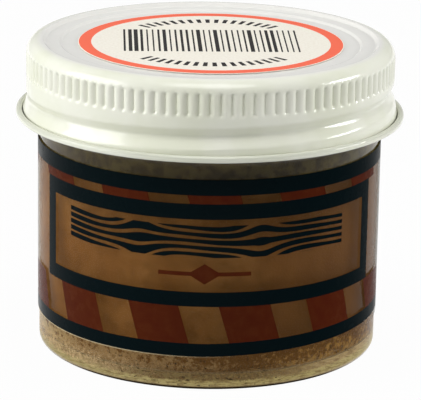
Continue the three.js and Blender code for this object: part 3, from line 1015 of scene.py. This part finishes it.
# Liner
BOARD = rgb(186, 166, 136)
BOARD_FLECK = rgb(140, 118, 90)
PULP_NOISE = (0.5, 5, 0.7)
PULP_FLECK_NOISE = (1.1, 3)
PULP_FLECK_FADE = (0.6, 0.68, 0.0, 0.8)
BOARD_ROUGHNESS = 0.9
BOARD_BUMP = (0.1, 0.5)
FACING = (rgb(232, 229, 218), rgb(205, 186, 150))
OIL_STAIN_NOISE = (5, 5, 0.65)
OIL_STAIN_FADE = (0.45, 0.7)
OIL_STAIN_RADIUS_FADE = (23.5, 21)
COATING_NOISE = (0.8, 3)
COATING_ROUGHNESS_FADE = (0.3, 0.7, 0.3, 0.42)
COATING_BUMP = (0.03, 0.15)


def board_material():
    """Grey-brown pulpboard with flecks."""
    g = material_graph("pulpboard")
    point, _ = g.place()
    fibre = g.noise(point, *PULP_NOISE)
    flecks = g.fade(g.noise(point, *PULP_FLECK_NOISE), *PULP_FLECK_FADE)
    return g.done(g.principled(
        Base_Color=g.mix(flecks, g.mix(fibre, BOARD, BOARD_FLECK), BOARD_FLECK),
        Roughness=BOARD_ROUGHNESS,
        Normal=g.bump(fibre, *BOARD_BUMP),
    ))


def facing_material():
    """Coated facing, stained by the oil of the putty inside the ring of the jar's lip."""
    g = material_graph("coated_facing")
    point, (x, y, _) = g.place()
    inside = g.fade(g.radius(x, y), *OIL_STAIN_RADIUS_FADE)
    tint = g.both(g.fade(g.noise(point, *OIL_STAIN_NOISE), *OIL_STAIN_FADE), inside)
    coating = g.noise(point, *COATING_NOISE)
    return g.done(g.principled(
        Base_Color=g.mix(tint, *FACING),
        Roughness=g.fade(coating, *COATING_ROUGHNESS_FADE),
        Normal=g.bump(coating, *COATING_BUMP),
    ))


def fit(piece, body, node):
    """Set a piece on its body, in place of a CAD node, which it hides."""
    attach(piece, body)
    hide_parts(node)


fit(glass_jar(glass_material()), "jar", "jar")
fit(putty_fill(putty_material()), "jar", "putty")
fit(film_label(film_material()), "jar", "body_label")
fit(lid_cap(enamel_material()), "lid", "lid_shell")
fit(lid_sticker(paper_material()), "lid", "lid_label")
fit(liner_disc(board_material()), "liner", "liner_board")
fit(liner_film(facing_material()), "liner", "liner_facing")

# Studio in metres and watts, with each lamp's place, width, height and power
FLOOR_SIZE = 6.0
FLOOR_GAP = 2e-5
FLOOR_GREY = rgb(208, 208, 208)
FLOOR_GLOW = 0.97
ROOM_FADE = (-0.9, 0.1, 0.06, 0.4)
LAMPS = (
    ("left_softbox", (-0.78, -0.15, 0.35), 0.7, 0.7, 5.6),
    ("right_softbox", (0.8, 0.0, 0.3), 0.42, 0.18, 3.3),
    ("top_softbox", (0.0, -0.3, 0.85), 0.6, 0.6, 3.3),
)


def floor():
    """A pale floor that shows white and keeps the object's shadow."""
    g = material_graph("studio_floor")
    path = g.node("LightPath").outputs
    seen = g.either(path["Is Camera Ray"], path["Is Glossy Ray"], path["Is Transmission Ray"])
    matt = g.node("BsdfDiffuse", {"Color": FLOOR_GREY})
    glow = g.node("Emission", {"Color": WHITE})
    half = FLOOR_SIZE / 2
    mesh = bpy.data.meshes.new("floor")
    corners = [(-half, -half, 0), (half, -half, 0), (half, half, 0), (-half, half, 0)]
    mesh.from_pydata(corners, [], [(0, 1, 2, 3)])
    mesh.materials.append(g.done(g.layer(g.both(seen, FLOOR_GLOW), matt, glow)))
    plane = bpy.data.objects.new("floor", mesh)
    plane.location.z = -FLOOR_GAP
    bpy.context.scene.collection.objects.link(plane)


def room():
    """White to the eye, and a softly lit room that is darker in front for everything else."""
    g = Graph(bpy.data.worlds.new("room"), "OutputWorld")
    direction = g.node("SeparateXYZ", {0: g.node("TexCoord").outputs["Generated"]}).outputs
    level = g.fade(direction["Y"], *ROOM_FADE)
    dim = g.node("Background", {"Color": WHITE, "Strength": level})
    white = g.node("Background", {"Color": WHITE})
    path = g.node("LightPath").outputs
    seen = g.either(path["Is Camera Ray"], path["Is Transmission Ray"])
    bpy.context.scene.world = g.done(g.layer(seen, dim, white))


def lamps():
    """Soft lamps that face the jar, the right one a wide strip."""
    target = Vector((0, 0, JAR_HEIGHT / 2 * MM))
    for name, place, width, height, power in LAMPS:
        light = bpy.data.lights.new(name, "AREA")
        light.shape = "ELLIPSE"
        light.size = width
        light.size_y = height
        light.energy = power
        lamp = bpy.data.objects.new(name, light)
        lamp.location = place
        lamp.rotation_euler = (target - lamp.location).to_track_quat("-Z", "Y").to_euler()
        bpy.context.scene.collection.objects.link(lamp)


# Camera, fitted to the edges of the jar, its label and its lid
LENS = 240.04
SENSOR = 36.0
VIEW_TARGET = (0.31, 0.0, 20.85)
VIEW_DISTANCE = 415.79
VIEW_ELEVATION = 16.264
VIEW_ROLL = 0.954


def camera():
    """A long lens in front of the label, a little above it and a little rolled."""
    lens = bpy.data.cameras.new("camera")
    lens.lens = LENS
    lens.sensor_width = SENSOR
    tilt, roll = math.radians(VIEW_ELEVATION), math.radians(VIEW_ROLL)
    back = Vector((0, -math.cos(tilt), math.sin(tilt)))
    side = Vector((1, 0, 0))
    rise = back.cross(side)
    axes = Matrix((
        side * math.cos(roll) + rise * math.sin(roll),
        rise * math.cos(roll) - side * math.sin(roll),
        back,
    )).transposed().to_4x4()
    place = (Vector(VIEW_TARGET) + back * VIEW_DISTANCE) * MM
    eye = bpy.data.objects.new("camera", lens)
    eye.matrix_world = Matrix.Translation(place) @ axes
    bpy.context.scene.collection.objects.link(eye)
    bpy.context.scene.camera = eye


floor()
room()
lamps()
camera()
bpy.context.scene.view_settings.view_transform = "Standard"
